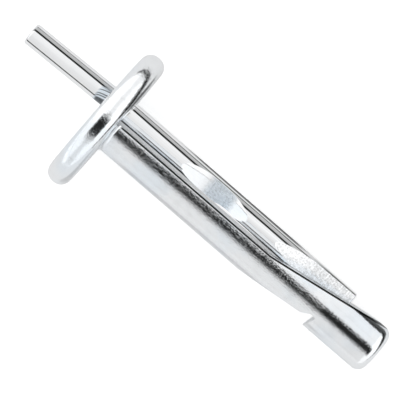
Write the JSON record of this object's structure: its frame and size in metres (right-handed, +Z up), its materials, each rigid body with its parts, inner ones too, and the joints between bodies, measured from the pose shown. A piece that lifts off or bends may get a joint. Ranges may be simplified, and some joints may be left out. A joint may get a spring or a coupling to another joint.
{
  "type": "ceiling anchor",
  "caption": "Hammer-set ceiling anchor: a disc-headed steel shank with a land, a ramp and an undercut tip, and a round drive pin with a wedge end.",
  "frame": {"origin": "on the floor, under the middle of the anchor's length, as it lies on the rim of its head and on its nose", "axes": "+X runs from the pin's free end towards the tip, +Y to the side that the pin is on, +Z up"},
  "size_m": [0.047, 0.0164, 0.0162],
  "materials": {
    "body_zinc": "bright zinc plating over a slightly grainy cold-formed surface",
    "pin_zinc": "bright zinc plating over smooth drawn wire"
  },
  "bodies": {
    "anchor": {"anchor_body": "body_zinc"},
    "pin": {"expansion_pin": "pin_zinc"}
  },
  "joints": [
    {"name": "pin_drive", "type": "hinge", "parent": "anchor", "child": "pin", "pos_m": [-0.02542, 0.24704, 0.0102], "axis": [0.1568, 0, 0.9876], "range_deg": [0, 2.35]}
  ]
}
